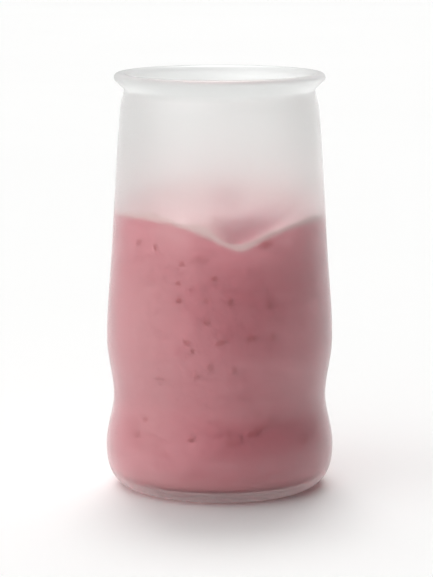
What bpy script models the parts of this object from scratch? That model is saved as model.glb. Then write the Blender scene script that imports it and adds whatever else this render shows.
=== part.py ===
"""A tall frosted glass pot with a rolled lip, more than half full of pink fruit yogurt.

Metres, +Z up, the pot standing on z = 0 with its axis on Z and its front towards -Y.
Two pieces: the glass jar, and the yogurt with its scooped, swirled top.
"""

import math

import bmesh
import bpy

SIDES = 54
SHARP_ANGLE = 40
MERGE_DISTANCE = 1e-6

# The jar's outer side: (height, radius, radius gained per unit of height).
HEIGHT = 0.1200
LOWER_BULGE = (0.0119, 0.03317, 0.0)
WAIST = (0.0263, 0.03091, 0.0)
UPPER_BULGE = (0.0430, 0.03284, 0.0)
TAPER = (0.0700, 0.03120, -0.058)
SHOULDER = (0.1108, 0.02852, -0.090)
NECK = (0.1148, 0.02756, 0.0)
WALL_STATIONS = (LOWER_BULGE, WAIST, UPPER_BULGE, TAPER, SHOULDER, NECK)
OUTER_STEPS = (5, 6, 5, 4, 3)
BORE_STEPS = (4, 4, 3, 4, 2)

# The foot: a flat ring to stand on, round a shallow push-up, and the rounded heel above it.
FOOT_RADIUS = 0.02524
RING_INNER_RADIUS = 0.0195
PUSH_UP = 0.0008
PUSH_UP_RADIUS = 0.0170
HEEL_POWER = 2.5
OUTER_HEEL_STEPS = 8
INNER_HEEL_STEPS = 6

# The glass: thick in the floor, thinner in the wall and at the neck.
WALL = 0.0024
FLOOR = 0.0040
FLOOR_RADIUS = 0.0228
NECK_BORE_RADIUS = 0.02545
BORE_SHOULDER_HEIGHT = 0.1095

# The rolled lip: a round bead outside, a flat crest, and a soft inner edge.
BEAD_RADIUS = 0.00105
BEAD_REACH = 0.03030
BEAD_TURN = 130
BEAD_STEPS = 5
UNDERCUT = (0.02765, 0.11565)
CREST_INNER_RADIUS = 0.0280
MOUTH_EDGE_RADIUS = 0.0018
MOUTH_EDGE_STEPS = 4

# The yogurt: its level at the glass, and how far it keeps clear of it.
GAP = 0.0003
LEVEL = 0.0811
STRETCH_FROM = 0.0560
BODY_STEPS = 4
TOP_RINGS = 18
TOUCHING = 0.00003

# Its top. Bearings are degrees from the front (-Y) towards +X.
SIDE_SAG = 0.0009
SIDE_SAG_POWER = 6
BACK_LIFT = 0.0026
BACK_LIFT_SPAN = (-0.006, 0.027)
SCOOP_BEARING = 12.0
SCOOP_DEPTH = 0.0080
SCOOP_SPREAD = (25.0, 21.0)
SCOOP_POWER = (1.65, 1.5)
SCOOP_RADII = (0.0195, 0.0250)
FOLD_RADII = (0.0195, 0.0045)
FOLD_WIDTH = 0.0030
FOLD_HEIGHT = 0.0018
FOLD_TURNS = 1.15
FOLD_START = -22.0
FOLD_GROWS_UNTIL = 0.25
FOLD_FADES_FROM = 0.55
PEAK_AT = (0.0022, 0.0045)
PEAK_HEIGHT = 0.0054
PEAK_WIDTH = 0.0036
PEAK_POWER = 1.5


def clear_scene():
    for thing in list(bpy.data.objects):
        bpy.data.objects.remove(thing)


def cubic(start, end, height):
    """The radius at a height between two stations, meeting the slope of each."""
    (low, low_radius, low_slope), (high, high_radius, high_slope) = start, end
    rise = high - low
    u = (height - low) / rise
    return (
        (2 * u**3 - 3 * u**2 + 1) * low_radius
        + (u**3 - 2 * u**2 + u) * rise * low_slope
        + (3 * u**2 - 2 * u**3) * high_radius
        + (u**3 - u**2) * rise * high_slope
    )


def outer_radius(height):
    """The outer side's radius, from the lower bulge to the neck."""
    for start, end in zip(WALL_STATIONS, WALL_STATIONS[1:]):
        if height <= end[0]:
            return cubic(start, end, height)
    return NECK[1]


def bore_radius(height):
    """The inner side's radius, from the lower bulge to the neck."""
    if height <= BORE_SHOULDER_HEIGHT:
        return outer_radius(height) - WALL
    shoulder_radius = outer_radius(BORE_SHOULDER_HEIGHT) - WALL
    shoulder = (BORE_SHOULDER_HEIGHT, shoulder_radius, TAPER[2])
    return cubic(shoulder, (NECK[0], NECK_BORE_RADIUS, 0.0), min(height, NECK[0]))


def heel(foot_radius, bulge_radius, foot_height, steps):
    """The rounded corner from a flat foot up to the lower bulge, as (radius, height) points."""
    points = []
    for step in range(steps + 1):
        turn = math.radians(90) * step / steps
        reach = math.sin(turn) ** (2 / HEEL_POWER)
        rise = 1 - math.cos(turn) ** (2 / HEEL_POWER)
        radius = foot_radius + (bulge_radius - foot_radius) * reach
        points.append((radius, foot_height + (LOWER_BULGE[0] - foot_height) * rise))
    return points


def arc(centre, radius, start, end, steps):
    """Points along an arc in the outline's plane. Angles are degrees from outwards, turning up."""
    points = []
    for step in range(steps + 1):
        angle = math.radians(start + (end - start) * step / steps)
        points.append((centre[0] + radius * math.cos(angle), centre[1] + radius * math.sin(angle)))
    return points


def wall_heights(step_counts):
    """Heights up the wall, each stretch between two stations cut into its own number of steps."""
    heights = []
    for (low, *_), (high, *_), steps in zip(WALL_STATIONS, WALL_STATIONS[1:], step_counts):
        heights += [low + (high - low) * step / steps for step in range(1, steps + 1)]
    return heights


def jar_outline():
    """The jar's half section, from the floor's middle inside, over the lip and down to its foot."""
    bore = [(0.0, FLOOR)]
    bore += heel(FLOOR_RADIUS, bore_radius(LOWER_BULGE[0]), FLOOR, INNER_HEEL_STEPS)
    bore += [(bore_radius(height), height) for height in wall_heights(BORE_STEPS)]
    edge_centre = (CREST_INNER_RADIUS, HEIGHT - MOUTH_EDGE_RADIUS)
    edge = arc(edge_centre, MOUTH_EDGE_RADIUS, 180, 90, MOUTH_EDGE_STEPS)
    bead_centre = (BEAD_REACH - BEAD_RADIUS, HEIGHT - BEAD_RADIUS)
    bead = arc(bead_centre, BEAD_RADIUS, 90, 90 - BEAD_TURN, BEAD_STEPS)
    outside = [(outer_radius(height), height) for height in reversed(wall_heights(OUTER_STEPS))]
    foot = list(reversed(heel(FOOT_RADIUS, LOWER_BULGE[1], 0.0, OUTER_HEEL_STEPS)))
    underside = [(RING_INNER_RADIUS, 0.0), (PUSH_UP_RADIUS, PUSH_UP), (0.0, PUSH_UP)]
    return bore + edge + bead + [UNDERCUT] + outside + foot + underside


def yogurt_outline():
    """The yogurt's half section with a level top, from the middle of its underside to its top's."""
    base = FLOOR + GAP
    bulge_radius = bore_radius(LOWER_BULGE[0]) - GAP
    points = [(0.0, base)] + heel(FLOOR_RADIUS, bulge_radius, base, INNER_HEEL_STEPS)
    heights = [height for height in wall_heights(BORE_STEPS) if height < STRETCH_FROM]
    heights += [
        STRETCH_FROM + (LEVEL - STRETCH_FROM) * step / BODY_STEPS for step in range(BODY_STEPS + 1)
    ]
    points += [(bore_radius(height) - GAP, height) for height in heights]
    rim = points[-1][0]
    points += [(rim * (1 - ring / TOP_RINGS), LEVEL) for ring in range(1, TOP_RINGS + 1)]
    return points


def lathe(outline):
    """A bmesh turned about Z from an outline of (radius, height) points that starts and ends on it."""
    shape = bmesh.new()
    points = [shape.verts.new((radius, 0.0, height)) for radius, height in outline]
    edges = [shape.edges.new(pair) for pair in zip(points, points[1:])]
    bmesh.ops.spin(
        shape,
        geom=points + edges,
        cent=(0.0, 0.0, 0.0),
        axis=(0.0, 0.0, 1.0),
        angle=math.radians(360),
        steps=SIDES,
        use_merge=True,
    )
    bmesh.ops.remove_doubles(shape, verts=shape.verts, dist=MERGE_DISTANCE)
    bmesh.ops.recalc_face_normals(shape, faces=shape.faces)
    return shape


def ease(low, high, value):
    """0 below low, 1 above high, and a smooth step between."""
    u = min(max((value - low) / (high - low), 0.0), 1.0)
    return u * u * (3 - 2 * u)


def scoop(radius, bearing):
    """The hollow scooped at the front: a V along the glass, with a steep inner face."""
    side = int(bearing > SCOOP_BEARING)
    away = abs(bearing - SCOOP_BEARING) / SCOOP_SPREAD[side]
    return SCOOP_DEPTH * math.exp(-(away ** SCOOP_POWER[side])) * ease(*SCOOP_RADII, radius)


def fold(radius, bearing):
    """A soft ridge that winds inwards from above the scoop to the foot of the peak."""
    height = 0.0
    start_radius, end_radius = FOLD_RADII
    for lap in range(math.ceil(FOLD_TURNS)):
        along = ((bearing - FOLD_START) % 360 / 360 + lap) / FOLD_TURNS
        offset = (radius - start_radius - (end_radius - start_radius) * along) / FOLD_WIDTH
        fade = ease(0.0, FOLD_GROWS_UNTIL, along) * (1 - ease(FOLD_FADES_FROM, 1.0, along))
        height += FOLD_HEIGHT * fade * math.exp(-offset * offset)
    return height


def peak(x, y):
    """The little peak where the swirl ends."""
    away = math.hypot(x - PEAK_AT[0], y - PEAK_AT[1]) / PEAK_WIDTH
    return PEAK_HEIGHT * math.exp(-(away**PEAK_POWER))


def top_height(x, y):
    radius = math.hypot(x, y)
    bearing = math.degrees(math.atan2(x, -y)) if radius > 0.0 else 0.0
    sideways = math.sin(math.radians(bearing)) ** SIDE_SAG_POWER
    sag = SIDE_SAG * sideways * (radius / bore_radius(LEVEL)) ** 2
    lift = BACK_LIFT * ease(*BACK_LIFT_SPAN, y)
    return LEVEL - sag + lift - scoop(radius, bearing) + fold(radius, bearing) + peak(x, y)


def shape_top(shape):
    """Moves the level top to its swirled height, and the wall below it along the glass to match."""
    level_rim = bore_radius(LEVEL) - GAP
    for point in shape.verts:
        x, y, height = point.co
        radius = math.hypot(x, y)
        on_rim = radius > level_rim - TOUCHING
        if height < STRETCH_FROM or radius == 0.0 and height < LEVEL:
            continue
        if height > LEVEL - TOUCHING and not on_rim:
            point.co.z = top_height(x, y)
            continue
        out_x, out_y = x / radius, y / radius
        rim_height = top_height(out_x * level_rim, out_y * level_rim)
        share = (height - STRETCH_FROM) / (LEVEL - STRETCH_FROM)
        new_height = STRETCH_FROM + (rim_height - STRETCH_FROM) * share
        new_radius = bore_radius(new_height) - GAP
        point.co = (out_x * new_radius, out_y * new_radius, new_height)


def linear(*srgb):
    """A screen colour of 0 to 255 as the shader's linear colour, with full alpha."""
    return [((part / 255 + 0.055) / 1.055) ** 2.4 for part in srgb] + [1.0]


def finish(name, colour, roughness, transmission=0.0):
    material = bpy.data.materials.new(name)
    material.use_nodes = True
    surface = material.node_tree.nodes["Principled BSDF"]
    surface.inputs["Base Color"].default_value = colour
    surface.inputs["Roughness"].default_value = roughness
    surface.inputs["Metallic"].default_value = 0.0
    surface.inputs["Transmission Weight"].default_value = transmission
    return material


def add_piece(name, shape, material):
    mesh = bpy.data.meshes.new(name)
    shape.to_mesh(mesh)
    shape.free()
    mesh.shade_smooth()
    mesh.set_sharp_from_angle(angle=math.radians(SHARP_ANGLE))
    mesh.materials.append(material)
    bpy.context.collection.objects.link(bpy.data.objects.new(name, mesh))


def make_jar():
    frosted = finish("frosted_glass", linear(236, 238, 236), 0.45, transmission=0.9)
    add_piece("jar", lathe(jar_outline()), frosted)


def make_yogurt():
    pink = finish("fruit_yogurt", linear(214, 140, 150), 0.4)
    shape = lathe(yogurt_outline())
    shape_top(shape)
    add_piece("yogurt", shape, pink)


clear_scene()
make_jar()
make_yogurt()
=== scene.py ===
"""The looks of a frosted glass pot of fruit yogurt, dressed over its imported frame.

Metres, +Z up, the pot standing on z = 0 with its axis on Z and its front towards -Y.
"""

import math
import random
from itertools import cycle

import bmesh
import bpy
from mathutils import Matrix, Vector, noise


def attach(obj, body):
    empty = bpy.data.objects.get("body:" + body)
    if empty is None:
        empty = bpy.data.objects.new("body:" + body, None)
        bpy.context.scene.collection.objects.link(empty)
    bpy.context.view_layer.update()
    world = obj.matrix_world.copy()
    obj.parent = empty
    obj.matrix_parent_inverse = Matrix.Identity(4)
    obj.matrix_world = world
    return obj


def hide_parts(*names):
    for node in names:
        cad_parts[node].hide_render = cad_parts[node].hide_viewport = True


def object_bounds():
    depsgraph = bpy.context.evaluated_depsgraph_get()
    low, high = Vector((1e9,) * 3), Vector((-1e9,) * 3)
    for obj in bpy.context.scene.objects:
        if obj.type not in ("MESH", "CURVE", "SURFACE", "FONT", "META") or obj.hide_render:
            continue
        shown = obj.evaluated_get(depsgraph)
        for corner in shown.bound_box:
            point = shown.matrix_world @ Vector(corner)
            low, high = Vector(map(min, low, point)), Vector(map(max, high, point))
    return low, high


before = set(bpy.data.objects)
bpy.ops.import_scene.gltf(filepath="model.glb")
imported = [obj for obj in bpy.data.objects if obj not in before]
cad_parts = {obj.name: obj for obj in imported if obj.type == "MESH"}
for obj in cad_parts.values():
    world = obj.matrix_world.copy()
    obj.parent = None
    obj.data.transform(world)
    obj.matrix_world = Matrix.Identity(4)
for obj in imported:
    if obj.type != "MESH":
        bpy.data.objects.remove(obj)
CAD_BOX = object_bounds()

bl_info = {
    "name": "Frosted Yogurt Pot",
    "version": (1, 0, 0),
    "blender": (4, 5, 0),
    "location": "3D View > Sidebar > Yogurt Pot",
    "description": "Makes a frosted glass pot of fruit yogurt and the table it stands on",
    "category": "Add Mesh",
}

MERGE_DISTANCE = 0.000002

# The outside of the glass at its main heights: height, radius, radius gained per unit of height.
LOWER_BULGE = (0.0119, 0.03317, 0.0)
WAIST = (0.0263, 0.03091, 0.0)
UPPER_BULGE = (0.0430, 0.03284, 0.0)
TAPER = (0.0700, 0.03120, -0.058)
SHOULDER = (0.1108, 0.02852, -0.090)
NECK = (0.1150, 0.02742, 0.0)
WALL_STATIONS = (LOWER_BULGE, WAIST, UPPER_BULGE, TAPER, SHOULDER, NECK)
WALL_STEP = 0.0016

# The foot, the two rounded heels and the bore.
FOOT_RADIUS = 0.02524
RING_INNER_RADIUS = 0.0195
PUSH_UP = 0.0008
PUSH_UP_RADIUS = 0.0170
HEEL_POWER = 2.5
BORE_HEEL_POWER = 3.4
HEEL_STEPS = 18
FLOOR_RADIUS = 0.0265
NECK_BORE_RADIUS = 0.02545
BORE_SHOULDER_HEIGHT = 0.1095

# The rolled lip. The bead's turn is in degrees.
BEAD_RADIUS = 0.0013
BEAD_REACH = 0.03030
BEAD_TURN = 130
UNDERCUT_RADIUS = 0.0276
UNDERCUT_HEIGHT = 0.11565
CREST_INNER_RADIUS = 0.0280
MOUTH_EDGE_RADIUS = 0.0018
ROUND_STEPS = 12

# The sharpest edge, in degrees, that is still shaded smooth.
GLASS_SMOOTH = 50
YOGURT_SMOOTH = 60
SCRAP_SMOOTH = 180

# The frosted finish: the heights over which the lip and the thick base fade into the wall,
# shares of the frost where it is worn and where it is fresh, how soft the pits' edges are,
# and the grain outside.
LIP_FADE = (0.1140, 0.1162)
BASE_FADE = (0.0028, 0.0075)
FROST_RANGE = (0.92, 1.08)
PIT_EDGE = 0.10
GRAIN_DEPTH = 0.000004
GRAIN_STRENGTH = 0.6
GLASS_IOR = 1.5

# The moist finish of the yogurt. A gloss is a share of the roughness that the user sets.
STREAK_STRENGTH = 0.42
MOTTLE_STRENGTH = 0.40
SPECK_EDGE = (0.05, 0.22)
SPECKS_FROM = 0.70
SPECK_STRENGTH = 0.5
GLOSS_RANGE = (0.9, 1.15)
FRUIT_GLOSS = 0.8
MOIST_GRAIN = {"Grain_Size": 0.0011, "Depth": 0.00006, "Strength": 0.55}
YOGURT_IOR = 1.38

# The yogurt's mesh: rings up its side, level below STRETCH_FROM, and rings in over its top.
SIDE_STEP = 0.0009
STRETCH_FROM = 0.0560
TOP_RINGS = 64
RING_CROWDING = 1.5
TOUCHING = 0.00003

# The yogurt's top. Bearings are degrees from the front (-Y) towards +X.
SIDE_SAG = 0.0009
SIDE_SAG_POWER = 6
BACK_LIFT = 0.0026
BACK_LIFT_SPAN = (-0.006, 0.027)
SCOOP_BEARING = 12.0
SCOOP_SPREAD = (25.0, 21.0)
SCOOP_POWER = (1.65, 1.5)
SCOOP_RADII = (0.0205, 0.0248)
FOLD_RADII = (0.0195, 0.0045)
FOLD_WIDTH = 0.0030
FOLD_TURNS = 1.15
FOLD_START = -22.0
FOLD_GROWS_UNTIL = 0.25
FOLD_FADES_FROM = 0.55
PEAK_AT = (0.0022, 0.0045)
PEAK_WIDTH = 0.0036
PEAK_POWER = 1.5
DIP_ALL = 0.0009
DIP_RIGHT = 0.0013
DIP_RIGHT_FROM = (14, 44)
DIP_BACK = (75, 120)
DIP_POWER = 3

# Waves on the top: layer of the noise, waves per metre, height.
RIPPLES = ((0.0, 220, 0.00016), (0.01, 700, 0.00005))

# The thin edge of yogurt that clings to the glass, and the waves that make it uneven.
# Its pale colour is painted light, as if lit from behind; it starts at a set height over
# the contact line and is full at a share of its height.
SMEAR_REACH = 0.0030
SMEAR_WIDTH = 0.00045
SMEAR_EVENNESS = 0.75
SMEAR_WAVES = (0.02, 160, 0.6)
SMEAR_LIGHT_START = -0.0002
SMEAR_LIGHT_FULL = 0.35

# Painted shade on the scooped face, whose inner and outer edges move inwards towards the right,
# a weaker painted shade on the right of the top and painted shade on the peak's front,
# and painted light on the top, which is weaker at the sides.
TOP_LIGHT = 0.55
TOP_LIGHT_SIDES = 0.7
SHADE_INNER = (0.0197, 0.0213)
SHADE_INNER_SHIFT = -0.0055
SHADE_INNER_BEARINGS = (12, 42)
SHADE_OUTER = (0.0236, 0.0256)
SHADE_OUTER_SHIFT = -0.0038
SHADE_OUTER_BEARINGS = (30, 62)
SHADE_ENDS = ((-10, 10), (46, 78))
SIDE_SHADE = 0.32
SIDE_SHADE_ENDS = ((22, 50), (80, 115))
SIDE_SHADE_RADII = (0.013, 0.022)
PEAK_SHADE_SHIFT = 0.001
PEAK_SHADE_SPREAD = 0.62
PEAK_SHADE = 1.0

# Soft patches on the yogurt's top: x, y, half width, half depth, strength.
# Painted shade under the folds and round the peak.
FOLD_SHADOWS = (
    (-0.0015, -0.0165, 0.0045, 0.0035, 0.40),
    (0.0155, -0.0110, 0.0040, 0.0035, 0.25),
    (0.0185, 0.0030, 0.0040, 0.0060, 0.12),
    (0.0022, -0.0035, 0.0042, 0.0075, 0.65),
    (0.0020, 0.0125, 0.0042, 0.0070, 0.75),
)
# Painted light on the top, where it is lit.
LIT_FOLDS = (
    (0.0115, 0.0160, 0.0062, 0.0100, 0.65),
    (-0.0075, 0.0160, 0.0060, 0.0090, 0.25),
)

# Fruit seen through the front of the glass:
# bearing, height, length, width, lean in degrees and depth of colour.
FRONT_FRUIT = (
    (-20.7, 0.0688, 0.0030, 0.0024, 70, 0.74),
    (-22.7, 0.0632, 0.0027, 0.0024, 20, 0.81),
    (-21.9, 0.0585, 0.0032, 0.0029, 40, 0.84),
    (-3.1, 0.0650, 0.0032, 0.0025, 10, 0.78),
    (5.4, 0.0583, 0.0034, 0.0029, 80, 0.68),
    (-7.1, 0.0527, 0.0037, 0.0032, 150, 0.68),
    (16.5, 0.0480, 0.0056, 0.0036, 10, 0.68),
    (28.6, 0.0481, 0.0036, 0.0030, 60, 0.94),
    (26.7, 0.0569, 0.0036, 0.0031, 45, 0.74),
    (0.4, 0.0471, 0.0046, 0.0028, 15, 0.78),
    (-17.4, 0.0471, 0.0042, 0.0024, 130, 0.68),
    (-14.1, 0.0446, 0.0026, 0.0023, 30, 0.81),
    (-15.3, 0.0186, 0.0036, 0.0031, 30, 0.68),
    (17.5, 0.0202, 0.0072, 0.0029, 25, 0.61),
    (24.0, 0.0219, 0.0068, 0.0025, 30, 0.61),
    (51.0, 0.0163, 0.0042, 0.0036, 60, 0.95),
    (-11.7, 0.0087, 0.0086, 0.0058, 0, 0.8),
    (6.5, 0.0177, 0.0075, 0.0052, 160, 0.35),
    (-37.4, 0.0730, 0.0032, 0.0020, 80, 0.68),
    (-49.9, 0.0737, 0.0036, 0.0030, 30, 0.61),
    (-10.7, 0.0699, 0.0087, 0.0071, 20, 0.22),
    (-7.2, 0.0588, 0.0056, 0.0022, 0, 0.54),
    (-5.0, 0.0404, 0.0042, 0.0030, 90, 0.47),
    (-11.9, 0.0380, 0.0038, 0.0030, 10, 0.47),
    (7.4, 0.0398, 0.0042, 0.0030, 60, 0.47),
    (-33.2, 0.0362, 0.0038, 0.0030, 30, 0.47),
    (-45.3, 0.0227, 0.0038, 0.0030, 40, 0.54),
    (-49.4, 0.0177, 0.0034, 0.0026, 20, 0.54),
    (20.4, 0.0258, 0.0040, 0.0026, 40, 0.47),
    (26.0, 0.0740, 0.0066, 0.0050, 20, 0.6),
)

# Soft patches on the yogurt's side: bearing, height, half width in degrees, half height, strength.
RIPE_PATCHES = (
    (19.0, 0.0500, 17.0, 0.0110, 0.75),
    (4.0, 0.0620, 22.0, 0.0080, 0.25),
    (36.0, 0.0620, 16.0, 0.0100, 0.25),
    (12.0, 0.0180, 26.0, 0.0070, 0.15),
    (23.0, 0.0320, 17.0, 0.0085, 0.38),
    (-11.0, 0.0098, 6.0, 0.0026, 0.60),
    (9.0, 0.0665, 11.0, 0.0060, 0.20),
    (6.0, 0.0460, 12.0, 0.0060, 0.18),
    (-128.0, 0.0330, 24.0, 0.0120, 0.45),
    (118.0, 0.0590, 20.0, 0.0100, 0.45),
    (172.0, 0.0210, 26.0, 0.0090, 0.40),
    (-165.0, 0.0640, 18.0, 0.0080, 0.35),
)
# Pale patches. Those at the front left are painted light from the left, those along the bottom are
# painted light on the shaded heel, and the rest vary the tone.
PALE_PATCHES = (
    (-44.0, 0.0640, 15.0, 0.0100, 0.13),
    (-46.0, 0.0470, 17.0, 0.0140, 0.20),
    (-44.0, 0.0210, 15.0, 0.0110, 0.19),
    (-30.0, 0.0055, 30.0, 0.0035, 0.22),
    (22.0, 0.0050, 26.0, 0.0030, 0.14),
    (-22.0, 0.0690, 10.0, 0.0060, 0.08),
    (-28.0, 0.0770, 15.0, 0.0040, 0.22),
    (-28.0, 0.0565, 10.0, 0.0080, 0.08),
    (-30.0, 0.0360, 12.0, 0.0120, 0.08),
    (-78.0, 0.0450, 14.0, 0.0220, 0.10),
    (95.0, 0.0240, 20.0, 0.0120, 0.15),
    (150.0, 0.0470, 18.0, 0.0110, 0.15),
    (-140.0, 0.0560, 16.0, 0.0090, 0.15),
)

# A scrap of fruit: how far it stands out of the yogurt, its thickness as a share of its width,
# the step that finds the slope under it, its facets, its ragged outline and its dark heart.
FRUIT_PROUD = 0.00012
FRUIT_THICKNESS = 0.30
SLOPE_STEP = 0.0003
SCRAP_RADIUS = 0.5
SCRAP_FACETS = (16, 9)
SCRAP_SEEDS = (3, 8, 14, 21, 27)
SCRAP_LUMPS = 0.04
RAGGEDNESS = 0.75
RAGGED_WAVES = 1.9
HEART_FADE = (0.15, 1.0)

# Scattered scraps: shortest length, longest extra length, a power that keeps most of them short,
# widths as shares of the length, and depths of colour. None is scattered over SHOWN_BEARINGS.
SHOWN_BEARINGS = (-62.0, 62.0)
SIDE_SHAPES = (0.0016, 0.0034, 3, (0.55, 0.85), (0.4, 1.0))
SIDE_SEED = 11
SIDE_FIELD = (0.0080, 0.0760)
TOP_SHAPES = (0.0014, 0.0032, 2, (0.4, 0.8), (0.3, 0.85))
TOP_SEED = 5
TOP_SCRAPS = 20
TOP_FIELD = 0.026

# The stage. The room brightens over BACKDROP_SPAN, where 0 is across BACKDROP_WAY and 1 along it.
BACKDROP_WAY = (-0.11, 0.99, 0.0)
BACKDROP_SPAN = (0.15, 0.95)
ROOM_COLOUR = (1.0, 0.995, 0.985, 1.0)
TABLE_SIZE = 16.0
TABLE_DIMMEST = 0.99
NEAREST_SEEN = 0.01

# The soft lights: name, bearing, elevation and spread. Each one's strength is in StudioLook.
SOFT_LIGHTS = (
    ("high_behind", 182, 60, 23),
    ("overhead", 183, 71, 33),
    ("left", 260, 30, 80),
    ("left_front", 315, 45, 80),
)


def ease(low, high, value):
    """0 below low, 1 above high, and a smooth step between."""
    u = min(max((value - low) / (high - low), 0.0), 1.0)
    return u * u * (3 - 2 * u)


def cubic(start, end, height):
    """The radius at a height between two stations, meeting the slope of each."""
    (low, low_radius, low_slope), (high, high_radius, high_slope) = start, end
    rise = high - low
    u = (height - low) / rise
    return (
        (2 * u**3 - 3 * u**2 + 1) * low_radius
        + (u**3 - 2 * u**2 + u) * rise * low_slope
        + (3 * u**2 - 2 * u**3) * high_radius
        + (u**3 - u**2) * rise * high_slope
    )


def outer_radius(height):
    """The glass's outer radius, from the lower bulge to the neck."""
    for start, end in zip(WALL_STATIONS, WALL_STATIONS[1:]):
        if height <= end[0]:
            return cubic(start, end, height)
    return NECK[1]


def bore_radius(height, wall):
    """The glass's inner radius, from the lower bulge to the neck."""
    if height <= BORE_SHOULDER_HEIGHT:
        return outer_radius(height) - wall
    shoulder_radius = outer_radius(BORE_SHOULDER_HEIGHT) - wall
    shoulder = (BORE_SHOULDER_HEIGHT, shoulder_radius, TAPER[2])
    return cubic(shoulder, (NECK[0], NECK_BORE_RADIUS, 0.0), min(height, NECK[0]))


def heel(foot_radius, bulge_radius, foot_height, power):
    """The rounded corner from a flat foot up to the lower bulge, as (radius, height) points."""
    points = []
    for step in range(HEEL_STEPS + 1):
        turn = math.radians(90) * step / HEEL_STEPS
        reach = math.sin(turn) ** (2 / power)
        rise = 1 - math.cos(turn) ** (2 / power)
        radius = foot_radius + (bulge_radius - foot_radius) * reach
        points.append((radius, foot_height + (LOWER_BULGE[0] - foot_height) * rise))
    return points


def arc(centre, radius, start, end, steps=ROUND_STEPS):
    """Points along an arc in the half section. Angles are degrees from outwards, turning up."""
    points = []
    for step in range(steps + 1):
        angle = math.radians(start + (end - start) * step / steps)
        points.append((centre[0] + radius * math.cos(angle), centre[1] + radius * math.sin(angle)))
    return points


def wall_heights(top, step_height=WALL_STEP):
    """Even heights up the wall from above the lower bulge to the given top."""
    rise = top - LOWER_BULGE[0]
    steps = math.ceil(rise / step_height)
    return [LOWER_BULGE[0] + rise * step / steps for step in range(1, steps + 1)]


def glass_inside(sizes):
    """The half section from the floor's middle up the bore to the neck."""
    bulge_radius = bore_radius(LOWER_BULGE[0], sizes.wall)
    points = [(0.0, sizes.floor)] + heel(FLOOR_RADIUS, bulge_radius, sizes.floor, BORE_HEEL_POWER)
    points += [(bore_radius(height, sizes.wall), height) for height in wall_heights(NECK[0])]
    return points


def glass_outside(sizes):
    """The half section from the mouth's edge over the lip, down the outside and under the foot."""
    edge_centre = (CREST_INNER_RADIUS, sizes.height - MOUTH_EDGE_RADIUS)
    bead_centre = (BEAD_REACH - BEAD_RADIUS, sizes.height - BEAD_RADIUS)
    points = arc(edge_centre, MOUTH_EDGE_RADIUS, 180, 90)
    points += arc(bead_centre, BEAD_RADIUS, 90, 90 - BEAD_TURN)
    points.append((UNDERCUT_RADIUS, UNDERCUT_HEIGHT))
    points += [(outer_radius(height), height) for height in reversed(wall_heights(NECK[0]))]
    points += reversed(heel(FOOT_RADIUS, LOWER_BULGE[1], 0.0, HEEL_POWER))
    points += [(RING_INNER_RADIUS, 0.0), (PUSH_UP_RADIUS, PUSH_UP), (0.0, PUSH_UP)]
    return points


def select_nothing():
    """Leaves edit mode and clears the selection."""
    if bpy.context.object and bpy.context.object.mode != "OBJECT":
        bpy.ops.object.mode_set(mode="OBJECT")
    bpy.ops.object.select_all(action="DESELECT")


def draw_half_section(name, points):
    """A chain of edges pulled out point by point from one corner, left open in edit mode."""
    select_nothing()
    radius, height = points[0]
    bpy.ops.mesh.primitive_plane_add(size=MERGE_DISTANCE, location=(radius, 0.0, height))
    piece = bpy.context.active_object
    piece.name = piece.data.name = name
    bpy.ops.object.transform_apply(location=True, rotation=False, scale=False)
    bpy.ops.object.mode_set(mode="EDIT")
    bpy.ops.mesh.select_mode(type="VERT")
    bpy.ops.mesh.select_all(action="SELECT")
    bpy.ops.mesh.merge(type="CENTER")
    for start, end in zip(points, points[1:]):
        step = (end[0] - start[0], 0.0, end[1] - start[1])
        bpy.ops.mesh.extrude_region_move(TRANSFORM_OT_translate={"value": step})
    return piece


def turn_round(piece, segments):
    """Spins the half section once round Z and closes it, with its faces outward."""
    bpy.ops.mesh.select_all(action="SELECT")
    bpy.ops.mesh.spin(steps=segments, angle=math.tau, center=(0.0, 0.0, 0.0), axis=(0.0, 0.0, 1.0))
    bpy.ops.mesh.select_all(action="SELECT")
    bpy.ops.mesh.remove_doubles(threshold=MERGE_DISTANCE)
    bpy.ops.mesh.normals_make_consistent(inside=False)
    bpy.ops.mesh.select_all(action="DESELECT")


def smooth(piece, degrees):
    """Leaves edit mode and shades the piece smooth across edges up to this sharp."""
    bpy.ops.object.mode_set(mode="OBJECT")
    bpy.ops.object.shade_smooth_by_angle(angle=math.radians(degrees))
    piece.select_set(False)


def mark(piece, name, values):
    """Writes one number for each vertex into a named attribute."""
    attribute = piece.data.attributes.new(name, "FLOAT", "POINT")
    attribute.data.foreach_set("value", values)


def dress(piece, material):
    """Gives the whole piece one material."""
    piece.data.materials.clear()
    piece.data.materials.append(material)


# Shader building


def start_material(name):
    """A material with a Principled surface, and that surface."""
    material = bpy.data.materials.new(name)
    material.use_nodes = True
    return material, material.node_tree, material.node_tree.nodes["Principled BSDF"]


def feed(tree, node, inputs):
    """Fills a node's inputs, by name or index, each with a socket or a plain value."""
    for slot, value in inputs.items():
        if isinstance(value, bpy.types.NodeSocket):
            tree.links.new(value, node.inputs[slot])
        else:
            node.inputs[slot].default_value = value


def put(tree, kind, inputs=None, **settings):
    """A node with its settings, and with its inputs fed."""
    made = tree.nodes.new(kind)
    for name, value in settings.items():
        setattr(made, name, value)
    feed(tree, made, inputs or {})
    return made


def blend_colours(tree, share, first, second):
    """A mix of two colours by a share."""
    inputs = {"Factor": share, 6: first, 7: second}
    return put(tree, "ShaderNodeMix", inputs, data_type="RGBA").outputs[2]


def blend_values(tree, share, first, second):
    """A mix of two values by a share."""
    inputs = {"Factor": share, 2: first, 3: second}
    return put(tree, "ShaderNodeMix", inputs, data_type="FLOAT").outputs[0]


def calculate(tree, operation, first, second, **settings):
    """Two values put together by one operation."""
    inputs = {0: first, 1: second}
    return put(tree, "ShaderNodeMath", inputs, operation=operation, **settings).outputs["Value"]


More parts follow.
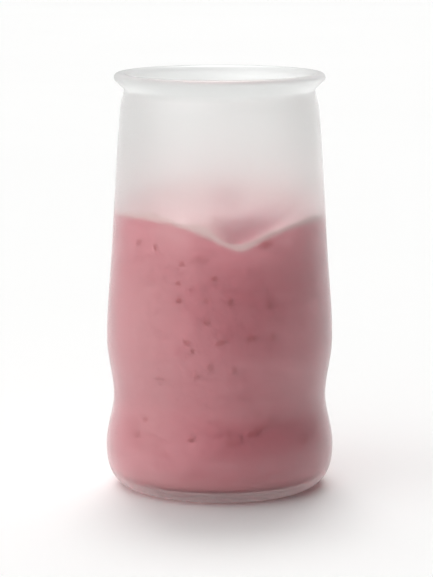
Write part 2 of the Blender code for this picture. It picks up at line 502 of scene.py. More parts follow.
def marked(tree, name):
    """The numbers that mark wrote into a named attribute."""
    return put(tree, "ShaderNodeAttribute", attribute_name=name).outputs["Fac"]


def object_place(tree):
    """The place on the piece, in metres."""
    return put(tree, "ShaderNodeTexCoord").outputs["Object"]


def full(colour):
    """A colour with its alpha."""
    return (*colour, 1.0)


def start_group(name, outputs, values=(), colours=()):
    """A node group with named inputs and outputs, and the sockets at its two ends."""
    group = bpy.data.node_groups.new(name, "ShaderNodeTree")
    for label, default in values:
        socket = group.interface.new_socket(label, in_out="INPUT", socket_type="NodeSocketFloat")
        socket.default_value = default
    for label in colours:
        group.interface.new_socket(label, in_out="INPUT", socket_type="NodeSocketColor")
    for label, kind in outputs:
        group.interface.new_socket(label, in_out="OUTPUT", socket_type=kind)
    given = group.nodes.new("NodeGroupInput").outputs
    result = group.nodes.new("NodeGroupOutput")
    return group, given, result


def use_group(tree, group, **inputs):
    """A group placed in a tree with its own values; an underscore stands for a space."""
    named = {name.replace("_", " "): value for name, value in inputs.items()}
    return put(tree, "ShaderNodeGroup", named, node_tree=group)


def cloudiness_group():
    """Soft patches: a mask between 0 and 1 from stretched noise of a given size."""
    name = "soft_cloudiness"
    if name in bpy.data.node_groups:
        return bpy.data.node_groups[name]
    values = (("Patch Size", 0.01), ("Flatness", 1.0), ("From", 0.4), ("To", 0.6))
    group, given, result = start_group(name, [("Mask", "NodeSocketFloat")], values=values)
    stretch = put(group, "ShaderNodeCombineXYZ", {"X": 1.0, "Y": 1.0, "Z": given["Flatness"]})
    factors = {0: object_place(group), 1: stretch.outputs["Vector"]}
    squashed = put(group, "ShaderNodeVectorMath", factors, operation="MULTIPLY")
    settings = {
        "Vector": squashed.outputs["Vector"],
        "Scale": calculate(group, "DIVIDE", 1.0, given["Patch Size"]),
        "Detail": 3.0,
        "Roughness": 0.55,
        "Distortion": 0.4,
    }
    clouds = put(group, "ShaderNodeTexNoise", settings).outputs["Fac"]
    fade = {"Value": clouds, "From Min": given["From"], "From Max": given["To"]}
    mask = put(group, "ShaderNodeMapRange", fade, interpolation_type="SMOOTHSTEP")
    feed(group, result, {"Mask": mask.outputs["Result"]})
    return group


def cloudiness(tree, size, start, end, flatness=1.0):
    """The mask of soft patches of one size, which fades in from start to end of its noise."""
    group = cloudiness_group()
    made = use_group(tree, group, Patch_Size=size, Flatness=flatness, From=start, To=end)
    return made.outputs["Mask"]


def yogurt_colour_group():
    """The colour under any fruit: pink, fruit streaks, pale tone with painted light, painted shade.
    """
    name = "yogurt_colour"
    if name in bpy.data.node_groups:
        return bpy.data.node_groups[name]
    outputs = (("Colour", "NodeSocketColor"), ("Streaks", "NodeSocketFloat"))
    colours = ("Pink", "Deep Pink", "Pale", "Hollow")
    group, given, result = start_group(name, outputs, colours=colours)
    streaks = cloudiness(group, size=0.011, start=0.38, end=0.66, flatness=2.2)
    mottle = cloudiness(group, size=0.0045, start=0.50, end=0.72, flatness=1.8)
    mixed = calculate(
        group,
        "ADD",
        calculate(group, "MULTIPLY", streaks, STREAK_STRENGTH),
        calculate(group, "MULTIPLY", mottle, MOTTLE_STRENGTH),
    )
    fruity = calculate(group, "ADD", mixed, marked(group, "ripe"), use_clamp=True)
    colour = blend_colours(group, fruity, given["Pink"], given["Deep Pink"])
    # Painted light: paler on the smear, the lit top and its folds, mixed with pale patches.
    colour = blend_colours(group, marked(group, "film"), colour, given["Pale"])
    # Painted shade: darker on the scooped face, the folds, the peak's front and the right of the
    # top.
    colour = blend_colours(group, marked(group, "fresh"), colour, given["Hollow"])
    feed(group, result, {"Colour": colour, "Streaks": streaks})
    return group


def grain_group():
    """A fine even grain: a bumped normal and the grain's own value."""
    name = "fine_grain"
    if name in bpy.data.node_groups:
        return bpy.data.node_groups[name]
    values = (("Grain Size", 0.0004), ("Depth", 0.00001), ("Strength", 1.0))
    outputs = (("Grain", "NodeSocketFloat"), ("Normal", "NodeSocketVector"))
    group, given, result = start_group(name, outputs, values=values)
    settings = {
        "Vector": object_place(group),
        "Scale": calculate(group, "DIVIDE", 1.0, given["Grain Size"]),
        "Detail": 2.0,
        "Roughness": 0.5,
    }
    grain = put(group, "ShaderNodeTexNoise", settings).outputs["Fac"]
    relief = {"Height": grain, "Distance": given["Depth"], "Strength": given["Strength"]}
    normal = put(group, "ShaderNodeBump", relief).outputs["Normal"]
    feed(group, result, {"Grain": grain, "Normal": normal})
    return group


def yogurt_colour(tree, look):
    """The yogurt's colour group with the colours that the user chose."""
    return use_group(
        tree,
        yogurt_colour_group(),
        Pink=full(look.pink),
        Deep_Pink=full(look.deep_pink),
        Pale=full(look.pale),
        Hollow=full(look.hollow),
    )


def frosted_glass(look):
    """Glass etched to satin: smooth plateaus between rough pits. Lamps shine through it."""
    material, tree, surface = start_material("frosted_glass")
    etched, lip, base = (marked(tree, name) for name in ("etched", "lip", "base"))
    worn = cloudiness(tree, size=0.006, start=0.3, end=0.7)
    satin = blend_values(tree, worn, *(look.frost * share for share in FROST_RANGE))
    finish = []
    for plateau, start in ((look.inside_roughness, look.inside_pits), (satin, look.outside_pits)):
        pits = cloudiness(tree, look.pit_size, start, start + PIT_EDGE)
        finish.append(blend_values(tree, pits, plateau, look.pit_roughness))
    walls = blend_values(tree, etched, *finish)
    walls = blend_values(tree, base, walls, look.base_roughness)
    grain = use_group(
        tree,
        grain_group(),
        Grain_Size=look.grain,
        Depth=GRAIN_DEPTH,
        Strength=calculate(tree, "MULTIPLY", etched, GRAIN_STRENGTH),
    )
    thick = blend_colours(tree, base, full(look.tint), full(look.base_tint))
    inputs = {
        "Base Color": blend_colours(tree, lip, thick, full(look.lip_tint)),
        "Roughness": blend_values(tree, lip, walls, look.lip_roughness),
        "Normal": grain.outputs["Normal"],
        "Metallic": 0.0,
        "IOR": GLASS_IOR,
        "Transmission Weight": 1.0,
        "Sheen Weight": look.sheen,
        "Sheen Roughness": 0.35,
        "Sheen Tint": (1.0, 1.0, 1.0, 1.0),
        "Coat Weight": 1.0,
        "Coat Roughness": look.gleam,
        "Coat IOR": GLASS_IOR,
    }
    feed(tree, surface, inputs)
    shadow = put(tree, "ShaderNodeLightPath").outputs["Is Shadow Ray"]
    through = put(tree, "ShaderNodeBsdfTransparent", {"Color": full(look.shade_tint)})
    ends = {"Fac": shadow, 1: surface.outputs["BSDF"], 2: through.outputs["BSDF"]}
    either = put(tree, "ShaderNodeMixShader", ends).outputs["Shader"]
    feed(tree, tree.nodes["Material Output"], {"Surface": either})
    return material


def fine_specks(tree, look):
    """A mask of small round specks in the few cells of a pattern that are chosen."""
    pattern = {"Vector": object_place(tree), "Scale": 1 / look.speck_spacing}
    cells = put(tree, "ShaderNodeTexVoronoi", pattern).outputs
    start, end = SPECK_EDGE
    edge = {"Value": cells["Distance"], "From Min": start, "From Max": end}
    edge.update({"To Min": 1.0, "To Max": 0.0})
    dot = put(tree, "ShaderNodeMapRange", edge, interpolation_type="SMOOTHSTEP").outputs["Result"]
    choice = put(tree, "ShaderNodeSeparateColor", {"Color": cells["Color"]}).outputs["Red"]
    share = {"Value": choice, "From Min": SPECKS_FROM, "To Max": SPECK_STRENGTH}
    chosen = put(tree, "ShaderNodeMapRange", share).outputs["Result"]
    return calculate(tree, "MULTIPLY", dot, chosen)


def fruit_yogurt(look):
    """Moist pink yogurt with deeper patches of fruit and fine specks."""
    material, tree, surface = start_material("fruit_yogurt")
    pink = yogurt_colour(tree, look)
    colour, streaks = pink.outputs["Colour"], pink.outputs["Streaks"]
    inputs = {
        "Base Color": blend_colours(tree, fine_specks(tree, look), colour, full(look.berry)),
        "Roughness": blend_values(tree, streaks, *(look.gloss * share for share in GLOSS_RANGE)),
        "Normal": use_group(tree, grain_group(), **MOIST_GRAIN).outputs["Normal"],
        "Metallic": 0.0,
        "IOR": YOGURT_IOR,
    }
    feed(tree, surface, inputs)
    return material


def berry_fruit(look):
    """The red of berry scraps and seeds, which fades into the yogurt round them."""
    material, tree, surface = start_material("berry_scraps")
    heart = marked(tree, "heart")
    pink = yogurt_colour(tree, look)
    mottle = cloudiness(tree, size=0.0006, start=0.35, end=0.65)
    fruit = blend_colours(tree, mottle, full(look.seed), full(look.berry))
    inputs = {
        "Base Color": blend_colours(tree, heart, pink.outputs["Colour"], fruit),
        "Roughness": blend_values(tree, heart, look.gloss, look.gloss * FRUIT_GLOSS),
        "Metallic": 0.0,
        "IOR": YOGURT_IOR,
    }
    feed(tree, surface, inputs)
    return material


def white_table(look):
    """A pale matte table with a faint cloudiness."""
    material, tree, surface = start_material("white_table")
    clouds = cloudiness(tree, size=0.4, start=0.3, end=0.7)
    dimmer = [part * TABLE_DIMMEST for part in look.table]
    inputs = {
        "Base Color": blend_colours(tree, clouds, full(look.table), full(dimmer)),
        "Roughness": 0.7,
        "Specular IOR Level": 0.2,
    }
    feed(tree, surface, inputs)
    return material


# The yogurt's shape


def bearing_of(x, y):
    """Degrees from the front towards +X."""
    return math.degrees(math.atan2(x, -y))


def side_radius(height, sizes):
    """The yogurt's radius at a height, a little way into the glass."""
    return bore_radius(height, sizes.wall) + sizes.bite


def waves(x, y, layer, per_metre):
    """Smooth noise across a plane. Another layer gives another pattern."""
    return noise.noise(Vector((x, y, layer)) * per_metre)


def scoop(radius, bearing, depth):
    """The hollow scooped at the front: a V along the glass, with a steep inner face."""
    side = int(bearing > SCOOP_BEARING)
    away = abs(bearing - SCOOP_BEARING) / SCOOP_SPREAD[side]
    return depth * math.exp(-(away ** SCOOP_POWER[side])) * ease(*SCOOP_RADII, radius)


def fold(radius, bearing, rise):
    """A soft ridge that winds inwards from above the scoop to the foot of the peak."""
    height = 0.0
    start_radius, end_radius = FOLD_RADII
    for lap in range(math.ceil(FOLD_TURNS)):
        along = ((bearing - FOLD_START) % 360 / 360 + lap) / FOLD_TURNS
        offset = (radius - start_radius - (end_radius - start_radius) * along) / FOLD_WIDTH
        fade = ease(0.0, FOLD_GROWS_UNTIL, along) * (1 - ease(FOLD_FADES_FROM, 1.0, along))
        height += rise * fade * math.exp(-offset * offset)
    return height


def peak(x, y, rise):
    """The small peak near the middle."""
    away = math.hypot(x - PEAK_AT[0], y - PEAK_AT[1]) / PEAK_WIDTH
    return rise * math.exp(-(away**PEAK_POWER))


def ripple(x, y):
    """The small unevenness of stirred yogurt."""
    return sum(height * waves(x, y, layer, per_metre) for layer, per_metre, height in RIPPLES)


def smear(x, y, sizes):
    """The thin edge of yogurt that clings to the glass above the contact line."""
    from_glass = bore_radius(sizes.level, sizes.wall) - math.hypot(x, y)
    if from_glass > SMEAR_REACH:
        return 0.0
    layer, per_metre, strength = SMEAR_WAVES
    unevenness = SMEAR_EVENNESS + strength * waves(x, y, layer, per_metre)
    return sizes.smear * unevenness * math.exp(-max(from_glass, 0.0) / SMEAR_WIDTH)


def dip(bearing):
    """How far the yogurt has sunk along the glass: a little all round, more at the right front."""
    sunk = DIP_ALL * (1 - ease(*DIP_BACK, abs(bearing)))
    return sunk + DIP_RIGHT * ease(*DIP_RIGHT_FROM, bearing) * (1 - ease(*DIP_BACK, bearing))


def top_height(x, y, sizes):
    """The height of the yogurt's swirled top."""
    radius = math.hypot(x, y)
    outwards = radius / bore_radius(sizes.level, sizes.wall)
    bearing = bearing_of(x, y) if radius > 0.0 else 0.0
    sideways = math.sin(math.radians(bearing)) ** SIDE_SAG_POWER
    sag = SIDE_SAG * sideways * outwards**2
    lift = BACK_LIFT * ease(*BACK_LIFT_SPAN, y)
    height = sizes.level - sag + lift - scoop(radius, bearing, sizes.scoop_depth)
    height += fold(radius, bearing, sizes.fold_rise) + peak(x, y, sizes.peak_rise)
    height -= dip(bearing) * outwards**DIP_POWER
    return height + ripple(x, y) + smear(x, y, sizes)


def shape_top(piece, sizes):
    """Lifts the level top to its swirled height, and the wall below it along the glass to match."""
    rim_radius = side_radius(sizes.level, sizes)
    shape = bmesh.from_edit_mesh(piece.data)
    for point in shape.verts:
        x, y, height = point.co
        radius = math.hypot(x, y)
        on_rim = radius > rim_radius - TOUCHING
        on_top = height > sizes.level - TOUCHING
        if height < STRETCH_FROM or radius < TOUCHING and not on_top:
            continue
        if on_top and not on_rim:
            point.co.z = top_height(x, y, sizes)
            continue
        out_x, out_y = x / radius, y / radius
        rim_height = top_height(out_x * rim_radius, out_y * rim_radius, sizes)
        share = (height - STRETCH_FROM) / (sizes.level - STRETCH_FROM)
        new_height = STRETCH_FROM + (rim_height - STRETCH_FROM) * share
        new_radius = side_radius(new_height, sizes)
        point.co = (out_x * new_radius, out_y * new_radius, new_height)
    bmesh.update_edit_mesh(piece.data)


def yogurt_half_section(sizes):
    """The half section up the side and in over a level top, with rings crowded at the glass."""
    base = sizes.floor - sizes.bite
    bulge_radius = side_radius(LOWER_BULGE[0], sizes)
    points = [(0.0, base)] + heel(FLOOR_RADIUS, bulge_radius, base, BORE_HEEL_POWER)
    for height in wall_heights(sizes.level, SIDE_STEP):
        points.append((side_radius(height, sizes), height))
    rim = points[-1][0]
    for ring in range(1, TOP_RINGS + 1):
        points.append((rim * (1 - (ring / TOP_RINGS) ** RING_CROWDING), sizes.level))
    return points


def between(ends, value):
    """1 between two soft ends, each a low and a high, and 0 outside them."""
    start, end = ends
    return ease(*start, value) * (1 - ease(*end, value))


def painted_shade_share(radius, bearing):
    """Painted shade: 1 on the shaded scooped face, less on the right of the top, 0 elsewhere."""
    inner = radius - SHADE_INNER_SHIFT * ease(*SHADE_INNER_BEARINGS, bearing)
    outer = radius - SHADE_OUTER_SHIFT * ease(*SHADE_OUTER_BEARINGS, bearing)
    across = ease(*SHADE_INNER, inner) * (1 - ease(*SHADE_OUTER, outer))
    cut = between(SHADE_ENDS, bearing) * across
    side = SIDE_SHADE * between(SIDE_SHADE_ENDS, bearing) * ease(*SIDE_SHADE_RADII, radius)
    return max(cut, side)


def painted_light_share(point, sizes):
    """Painted light: 1 on the thin smear above the contact line, lit from behind, less on the lit
    top.
    """
    radius = math.hypot(point.x, point.y)
    if radius < TOUCHING or point.z < STRETCH_FROM:
        return TOP_LIGHT * float(point.z > STRETCH_FROM)
    rim_radius = side_radius(sizes.level, sizes)
    x, y = point.x / radius * rim_radius, point.y / radius * rim_radius
    line = top_height(x, y, sizes) - smear(x, y, sizes)
    from_glass = bore_radius(point.z, sizes.wall) - radius
    on_glass = 1 - ease(0.0, SMEAR_WIDTH * 2, from_glass)
    # Painted light on the top away from the glass, weaker at the sides.
    sideways = 1 - TOP_LIGHT_SIDES * (point.x / rim_radius) ** 2
    skin = TOP_LIGHT * ease(0.0, SMEAR_WIDTH, from_glass) * sideways
    return max(on_glass * ease(SMEAR_LIGHT_START, sizes.smear * SMEAR_LIGHT_FULL, point.z - line), skin)


def patch_share(patches, across, along):
    """How far a place lies in soft patches, each with its middle, half sizes and strength."""
    share = 0.0
    for patch_across, patch_along, half_width, half_height, strength in patches:
        away = math.hypot((across - patch_across) / half_width, (along - patch_along) / half_height)
        share += strength * math.exp(-away * away)
    return share


def mark_colours(piece, sizes):
    """Marks, vertex by vertex, how fruity the yogurt is, how pale with painted light, and its
    painted shade.
    """
    ripe, film, fresh = [], [], []
    for point in (vertex.co for vertex in piece.data.vertices):
        x, y, height = point
        radius, bearing = math.hypot(x, y), bearing_of(x, y)
        ripe.append(patch_share(RIPE_PATCHES, bearing, height))
        # Paleness: painted light on the smear and the lit top, with pale patches.
        pale = max(painted_light_share(point, sizes), patch_share(PALE_PATCHES, bearing, height))
        if height > STRETCH_FROM and radius < bore_radius(height, sizes.wall):
            # Painted light on the top's folds.
            film.append(min(1.0, pale + patch_share(LIT_FOLDS, x, y)))
            # Painted shade: the scooped face and the right of the top, the peak's front and the
            # folds.
            swirled = PEAK_SHADE * peak(x, y + PEAK_SHADE_SHIFT, 1.0) ** PEAK_SHADE_SPREAD
            fresh.append(max(painted_shade_share(radius, bearing), swirled, patch_share(FOLD_SHADOWS, x, y)))
        else:
            film.append(pale)
            fresh.append(0.0)
    mark(piece, "ripe", ripe)
    mark(piece, "film", film)
    mark(piece, "fresh", fresh)


# Sizes and looks that a user would change


class PotSizes(bpy.types.PropertyGroup):
    height: bpy.props.FloatProperty(
        name="Height", description="From the table to the lip",
        default=CAD_BOX[1].z, unit="LENGTH",
    )
    wall: bpy.props.FloatProperty(
        name="Wall", description="Thickness of the glass wall",
        default=0.0024, unit="LENGTH",
    )
    floor: bpy.props.FloatProperty(
        name="Floor", description="Height of the inner floor above the table",
        default=0.0040, unit="LENGTH",
    )
    segments: bpy.props.IntProperty(
        name="Segments", description="Facets round the pot and the yogurt",
        default=160, min=24, max=240,
    )
    level: bpy.props.FloatProperty(
        name="Level", description="Height of the yogurt at the glass",
        default=0.0811, unit="LENGTH",
    )
    bite: bpy.props.FloatProperty(
        name="Bite", description="How far the yogurt reaches into the glass",
        default=0.0001, unit="LENGTH",
    )
    scoop_depth: bpy.props.FloatProperty(
        name="Scoop Depth", description="Depth of the hollow at the front",
        default=0.0080, unit="LENGTH",
    )
    fold_rise: bpy.props.FloatProperty(
        name="Fold Rise", description="Height of the winding ridge",
        default=0.0018, unit="LENGTH",
    )
    peak_rise: bpy.props.FloatProperty(
        name="Peak Rise", description="Height of the small peak",
        default=0.0054, unit="LENGTH",
    )
    smear: bpy.props.FloatProperty(
        name="Smear", description="How far a thin edge of yogurt climbs the glass",
        default=0.0024, unit="LENGTH",
    )


class GlassLook(bpy.types.PropertyGroup):
    tint: bpy.props.FloatVectorProperty(
        name="Tint", description="Colour of the glass",
        default=(0.955, 0.962, 0.958), subtype="COLOR",
    )
    shade_tint: bpy.props.FloatVectorProperty(
        name="Shade Tint", description="Light that each surface lets through",
        default=(0.86, 0.86, 0.85), subtype="COLOR",
    )
    frost: bpy.props.FloatProperty(
        name="Frost", description="Roughness of the outside between its pits",
        default=0.32, subtype="FACTOR",
    )
    inside_roughness: bpy.props.FloatProperty(
        name="Inside", description="Roughness of the inside between its pits",
        default=0.28, subtype="FACTOR",
    )
    lip_tint: bpy.props.FloatVectorProperty(
        name="Lip Tint", description="Colour of the thicker lip",
        default=(0.86, 0.875, 0.87), subtype="COLOR",
    )
    base_tint: bpy.props.FloatVectorProperty(
        name="Base Tint", description="Colour of the thick base",
        default=(0.91, 0.875, 0.87), subtype="COLOR",
    )
    base_roughness: bpy.props.FloatProperty(
        name="Base", description="Roughness of the thick base",
        default=0.85, subtype="FACTOR",
    )
    lip_roughness: bpy.props.FloatProperty(
        name="Lip", description="Roughness of the lip, etched all over",
        default=0.53, subtype="FACTOR",
    )
    pit_roughness: bpy.props.FloatProperty(
        name="Pit Roughness", description="Roughness of the etched pits",
        default=0.90, subtype="FACTOR",
    )
    pit_size: bpy.props.FloatProperty(
        name="Pit Size", description="Size of the etched pits",
        default=0.0002, unit="LENGTH",
    )
    outside_pits: bpy.props.FloatProperty(
        name="Outside Pits From", description="Where the pits start outside; less is more pits",
        default=0.50,
    )
    inside_pits: bpy.props.FloatProperty(
        name="Inside Pits From", description="Where the pits start inside; less is more pits",
        default=0.47,
    )
    sheen: bpy.props.FloatProperty(
        name="Sheen", description="White bloom towards the edges",
        default=0.32, subtype="FACTOR",
    )
    gleam: bpy.props.FloatProperty(
        name="Gleam", description="Roughness of the satin reflection",
        default=0.42, subtype="FACTOR",
    )
    grain: bpy.props.FloatProperty(
        name="Grain", description="Size of the etched grain",
        default=0.00035, unit="LENGTH",
    )


class YogurtLook(bpy.types.PropertyGroup):
    pink: bpy.props.FloatVectorProperty(
        name="Pink", description="Main colour",
        default=(0.69, 0.25, 0.29), subtype="COLOR",
    )
    deep_pink: bpy.props.FloatVectorProperty(
        name="Deep Pink", description="Colour of the fruitier streaks",
        default=(0.58, 0.16, 0.20), subtype="COLOR",
    )
    # The colour of the painted light on the smear and the top, and of the pale patches.
    pale: bpy.props.FloatVectorProperty(
        name="Pale", description="Colour of the skin and the thin edge on the glass",
        default=(0.725, 0.535, 0.52), subtype="COLOR",
    )
    berry: bpy.props.FloatVectorProperty(
        name="Berry", description="Colour of the fruit",
        default=(0.42, 0.06, 0.065), subtype="COLOR",
    )
    # The colour of the painted shade on the scooped face, the folds and the peak's front.
    hollow: bpy.props.FloatVectorProperty(
        name="Hollow", description="Colour of the freshly scooped face",
        default=(0.53, 0.17, 0.21), subtype="COLOR",
    )
    seed: bpy.props.FloatVectorProperty(
        name="Seed", description="Colour of the darkest scraps",
        default=(0.35, 0.045, 0.05), subtype="COLOR",
    )
    gloss: bpy.props.FloatProperty(
        name="Roughness", description="Roughness of the moist surface",
        default=0.36, subtype="FACTOR",
    )
    speck_spacing: bpy.props.FloatProperty(
        name="Speck Spacing", description="Distance between fine specks",
        default=0.0021, unit="LENGTH",
    )
    scraps: bpy.props.IntProperty(
        name="Scraps", description="Scraps of fruit away from the front",
        default=64, min=0,
    )


class StudioLook(bpy.types.PropertyGroup):
    table: bpy.props.FloatVectorProperty(
        name="Table", description="Colour of the table",
        default=(0.985, 0.985, 0.98), subtype="COLOR",
    )
    camera_place: bpy.props.FloatVectorProperty(
        name="Camera", description="Where the camera stands",
        default=(-0.0009, -0.6793, 0.1735), unit="LENGTH",
    )
    camera_dip: bpy.props.FloatProperty(
        name="Dip", description="How far the camera looks down",
        default=math.radians(9.714), unit="ROTATION",
    )
    lens: bpy.props.FloatProperty(
        name="Lens", description="Focal length",
        default=147.86, unit="CAMERA",
    )
    high_behind: bpy.props.FloatProperty(
        name="High Behind", description="Strength of the high light behind the pot",
        default=1.14,
    )
    overhead: bpy.props.FloatProperty(
        name="Overhead", description="Strength of the light almost above the pot",
        default=0.63,
    )
    left: bpy.props.FloatProperty(
        name="Left", description="Strength of the broad light at the left",
        default=0.30,
    )
    left_front: bpy.props.FloatProperty(
        name="Left Front", description="Strength of the broad light at the left front",
        default=1.34,
    )
    backdrop: bpy.props.FloatProperty(
        name="Backdrop", description="Strength of the white backdrop behind the pot",
        default=0.87,
    )


# The pieces


class YOGURTPOT_OT_glass(bpy.types.Operator):
    """Turn the glass pot from its half section and etch its outside"""

    bl_idname = "yogurtpot.glass"
    bl_label = "Make Glass Pot"

    def execute(self, context):
        sizes = context.scene.pot_sizes
        inside, outside = glass_inside(sizes), glass_outside(sizes)
        points = inside + outside
        pot = draw_half_section("glass_pot", points)
        bpy.ops.object.mode_set(mode="OBJECT")
        mark(pot, "etched", [0.0] * len(inside) + [1.0] * len(outside))
        mark(pot, "lip", [ease(*LIP_FADE, height) for _, height in points])
        mark(pot, "base", [1 - ease(*BASE_FADE, height) for _, height in points])
        bpy.ops.object.mode_set(mode="EDIT")
        turn_round(pot, sizes.segments)
        smooth(pot, GLASS_SMOOTH)
        dress(pot, frosted_glass(context.scene.glass_look))
        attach(pot, "root")
        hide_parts("jar")
        return {"FINISHED"}


class YOGURTPOT_OT_yogurt(bpy.types.Operator):
    """Fill the pot with yogurt up to its scooped and swirled top"""

    bl_idname = "yogurtpot.yogurt"
    bl_label = "Make Yogurt"

    def execute(self, context):
        sizes = context.scene.pot_sizes
        filling = draw_half_section("yogurt_filling", yogurt_half_section(sizes))
        turn_round(filling, sizes.segments)
        shape_top(filling, sizes)
        smooth(filling, YOGURT_SMOOTH)
        mark_colours(filling, sizes)
        dress(filling, fruit_yogurt(context.scene.yogurt_look))
        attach(filling, "root")
        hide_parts("yogurt")
        return {"FINISHED"}


def make_scrap(seed):
    """One ragged scrap of fruit, one metre long, whose middle is marked as its heart."""
    select_nothing()
    segments, rings = SCRAP_FACETS
    bpy.ops.mesh.primitive_uv_sphere_add(segments=segments, ring_count=rings, radius=SCRAP_RADIUS)
    scrap = bpy.context.active_object
    scrap.name = scrap.data.name = "scrap"
    bpy.ops.object.mode_set(mode="EDIT")
    bpy.ops.mesh.select_all(action="SELECT")
    bpy.ops.transform.vertex_random(offset=SCRAP_LUMPS, seed=seed, normal=0.5)
    bpy.ops.object.mode_set(mode="OBJECT")
    hearts = []
    for point in scrap.data.vertices:
        way = point.co.normalized()
        spread = 1 + RAGGEDNESS * waves(way.x, way.y, seed, RAGGED_WAVES)
        point.co.x *= spread
        point.co.y *= spread
        outwards = math.hypot(point.co.x, point.co.y) / SCRAP_RADIUS
        hearts.append(1 - ease(*HEART_FADE, outwards))
    mark(scrap, "heart", hearts)
    scrap.select_set(False)
    return scrap


def side_place(sizes, bearing, height, length, width, lean):
    """The matrix that lays a scrap on the yogurt's side, its long way at the lean."""
    turn = math.radians(bearing)
    out = Vector((math.sin(turn), -math.cos(turn), 0.0))
    along = Vector((math.cos(turn), math.sin(turn), 0.0))
    up = Vector((0.0, 0.0, 1.0))
    tip = math.radians(lean)
    long_way = along * math.cos(tip) + up * math.sin(tip)
    short_way = up * math.cos(tip) - along * math.sin(tip)
    thickness = width * FRUIT_THICKNESS
    radius = side_radius(height, sizes) + FRUIT_PROUD - thickness / 2
    middle = out * radius + up * height
    return flat_place(middle, long_way * length, short_way * width, out * thickness)


def top_place(sizes, x, y, length, width, lean):
    """The matrix that lays a scrap on the yogurt's top."""
    height = top_height(x, y, sizes)
    slope_x = (top_height(x + SLOPE_STEP, y, sizes) - height) / SLOPE_STEP
    slope_y = (top_height(x, y + SLOPE_STEP, sizes) - height) / SLOPE_STEP
    normal = Vector((-slope_x, -slope_y, 1.0)).normalized()
    tip = math.radians(lean)
    long_way = Vector((math.cos(tip), math.sin(tip), 0.0))
    long_way = (long_way - normal * long_way.dot(normal)).normalized()
    short_way = normal.cross(long_way)
    thickness = width * FRUIT_THICKNESS
    middle = Vector((x, y, height)) + normal * (FRUIT_PROUD - thickness / 2)
    return flat_place(middle, long_way * length, short_way * width, normal * thickness)


def flat_place(middle, long_way, short_way, thick_way):
    """The matrix that stretches a scrap along three ways and moves it to its middle."""
    place = Matrix.Identity(4)
    for column, way in enumerate((long_way, short_way, thick_way, middle)):
        for row in range(3):
            place[row][column] = way[row]
    return place


def random_shape(chance, shapes):
    """A length, a width, a lean in degrees and a depth of colour."""
    shortest, extra, power, widths, depths = shapes
    length = shortest + extra * chance.random() ** power
    width = length * chance.uniform(*widths)
    lean = chance.uniform(0, 180)
    return length, width, lean, chance.uniform(*depths)


def side_fruit(count):
    """Seeded places and shapes for the scraps round the sides and the back."""
    chance = random.Random(SIDE_SEED)
    rows = []
    while len(rows) < count:
        bearing = chance.uniform(-180.0, 180.0)
        height = chance.uniform(*SIDE_FIELD)
        if SHOWN_BEARINGS[0] < bearing < SHOWN_BEARINGS[1]:
            continue
        rows.append((bearing, height, *random_shape(chance, SIDE_SHAPES)))
    return rows


def top_fruit(count):
    """Seeded places and shapes for the scraps on the top."""
    chance = random.Random(TOP_SEED)
    rows = []
    for _ in range(count):
        radius = TOP_FIELD * math.sqrt(chance.random())
        turn = chance.uniform(0, math.tau)
        place = (radius * math.cos(turn), radius * math.sin(turn))
        rows.append((*place, *random_shape(chance, TOP_SHAPES)))
    return rows


def lay_copy(scrap, place, depth):
    """A copy of a scrap at its place, with its heart as dark as the depth of colour."""
    copy = scrap.copy()
    copy.data = scrap.data.copy()
    copy.data.transform(place)
    for heart in copy.data.attributes["heart"].data:
        heart.value *= depth
    bpy.context.collection.objects.link(copy)
    return copy


class YOGURTPOT_OT_fruit(bpy.types.Operator):
    """Scatter scraps of berry in the surface of the yogurt"""

    bl_idname = "yogurtpot.fruit"
    bl_label = "Scatter Fruit"

    def execute(self, context):
        sizes = context.scene.pot_sizes
        look = context.scene.yogurt_look
        scraps = [make_scrap(seed) for seed in SCRAP_SEEDS]
        side_rows = (*FRONT_FRUIT, *side_fruit(look.scraps))
        places = [(side_place(sizes, *row), depth) for *row, depth in side_rows]
        places += [(top_place(sizes, *row), depth) for *row, depth in top_fruit(TOP_SCRAPS)]
        copies = [lay_copy(scrap, *laid) for scrap, laid in zip(cycle(scraps), places)]
        for scrap in scraps:
            bpy.data.objects.remove(scrap)
        for copy in copies:
            copy.select_set(True)
        context.view_layer.objects.active = copies[0]
        bpy.ops.object.join()
        fruit = context.active_object
        fruit.name = fruit.data.name = "berry_scraps"
        bpy.ops.object.mode_set(mode="EDIT")
        smooth(fruit, SCRAP_SMOOTH)
        mark_colours(fruit, sizes)
        dress(fruit, berry_fruit(look))
        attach(fruit, "root")
        return {"FINISHED"}


# The stage


def add_soft_light(name, bearing, elevation, spread, strength):
    """A broad distant light. Bearings are degrees from the front towards +X, as for the yogurt."""
    lamp = bpy.data.lights.new(name, "SUN")
    lamp.energy = strength
    lamp.angle = math.radians(spread)
    holder = bpy.data.objects.new(name, lamp)
    turn, rise = math.radians(bearing), math.radians(elevation)
    level = math.cos(rise)
    towards = Vector((math.sin(turn) * level, -math.cos(turn) * level, math.sin(rise)))
    holder.rotation_euler = towards.to_track_quat("Z", "Y").to_euler()
    bpy.context.collection.objects.link(holder)


def white_backdrop(look):
    """A room that is bright behind the pot and dark in front, and pale wherever it is seen."""
    world = bpy.data.worlds.new("room")
    world.use_nodes = True
    tree = world.node_tree
    ways = {0: put(tree, "ShaderNodeTexCoord").outputs["Generated"], 1: BACKDROP_WAY}
    along = put(tree, "ShaderNodeVectorMath", ways, operation="DOT_PRODUCT").outputs["Value"]
    start, end = BACKDROP_SPAN
    span = {"Value": along, "From Min": start, "From Max": end, "To Max": look.backdrop}
    behind = put(tree, "ShaderNodeMapRange", span, interpolation_type="SMOOTHSTEP")
    seen = put(tree, "ShaderNodeLightPath").outputs["Is Camera Ray"]
    strength = calculate(tree, "MAXIMUM", behind.outputs["Result"], seen)
    feed(tree, tree.nodes["Background"], {"Color": ROOM_COLOUR, "Strength": strength})
    return world


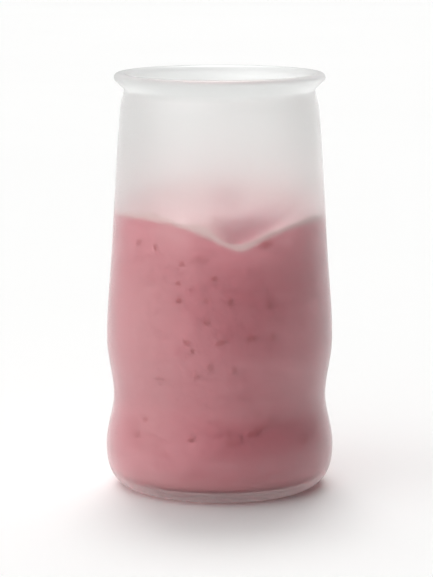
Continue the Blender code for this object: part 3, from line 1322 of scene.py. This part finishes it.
class YOGURTPOT_OT_studio(bpy.types.Operator):
    """Set the white table, the soft lights and the camera"""

    bl_idname = "yogurtpot.studio"
    bl_label = "Make Studio"

    def execute(self, context):
        look = context.scene.studio_look
        select_nothing()
        bpy.ops.mesh.primitive_grid_add(x_subdivisions=4, y_subdivisions=4, size=TABLE_SIZE)
        table = context.active_object
        table.name = table.data.name = "white_table"
        table.select_set(False)
        dress(table, white_table(look))
        for name, bearing, elevation, spread in SOFT_LIGHTS:
            add_soft_light(name, bearing, elevation, spread, getattr(look, name))
        context.scene.world = white_backdrop(look)
        lens = bpy.data.cameras.new("camera")
        lens.lens = look.lens
        lens.clip_start = NEAREST_SEEN
        camera = bpy.data.objects.new("camera", lens)
        camera.location = look.camera_place
        camera.rotation_euler = (math.radians(90) - look.camera_dip, 0.0, 0.0)
        context.collection.objects.link(camera)
        context.scene.camera = camera
        context.scene.view_settings.view_transform = "Standard"
        context.scene.cycles.transmission_bounces = 16
        context.scene.cycles.max_bounces = 20
        context.scene.cycles.diffuse_bounces = 6
        context.scene.cycles.caustics_refractive = True
        return {"FINISHED"}


class YOGURTPOT_PT_panel(bpy.types.Panel):
    """Buttons and sizes for the yogurt pot"""

    bl_idname = "YOGURTPOT_PT_panel"
    bl_label = "Yogurt Pot"
    bl_space_type = "VIEW_3D"
    bl_region_type = "UI"
    bl_category = "Yogurt Pot"

    def draw(self, context):
        column = self.layout.column()
        for operator in OPERATORS:
            column.operator(operator.bl_idname)
        for label, group in GROUPS.items():
            column.label(text=group.__name__)
            holder = getattr(context.scene, label)
            for name in group.__annotations__:
                column.prop(holder, name)


GROUPS = {
    "pot_sizes": PotSizes,
    "glass_look": GlassLook,
    "yogurt_look": YogurtLook,
    "studio_look": StudioLook,
}
OPERATORS = (YOGURTPOT_OT_glass, YOGURTPOT_OT_yogurt, YOGURTPOT_OT_fruit, YOGURTPOT_OT_studio)


def register():
    for made in (*GROUPS.values(), *OPERATORS, YOGURTPOT_PT_panel):
        bpy.utils.register_class(made)
    for label, group in GROUPS.items():
        setattr(bpy.types.Scene, label, bpy.props.PointerProperty(type=group))


def unregister():
    for label in GROUPS:
        delattr(bpy.types.Scene, label)
    for made in reversed((*GROUPS.values(), *OPERATORS, YOGURTPOT_PT_panel)):
        bpy.utils.unregister_class(made)


def main():
    register()
    bpy.ops.yogurtpot.glass()
    bpy.ops.yogurtpot.yogurt()
    bpy.ops.yogurtpot.fruit()
    bpy.ops.yogurtpot.studio()


if __name__ == "__main__":
    main()
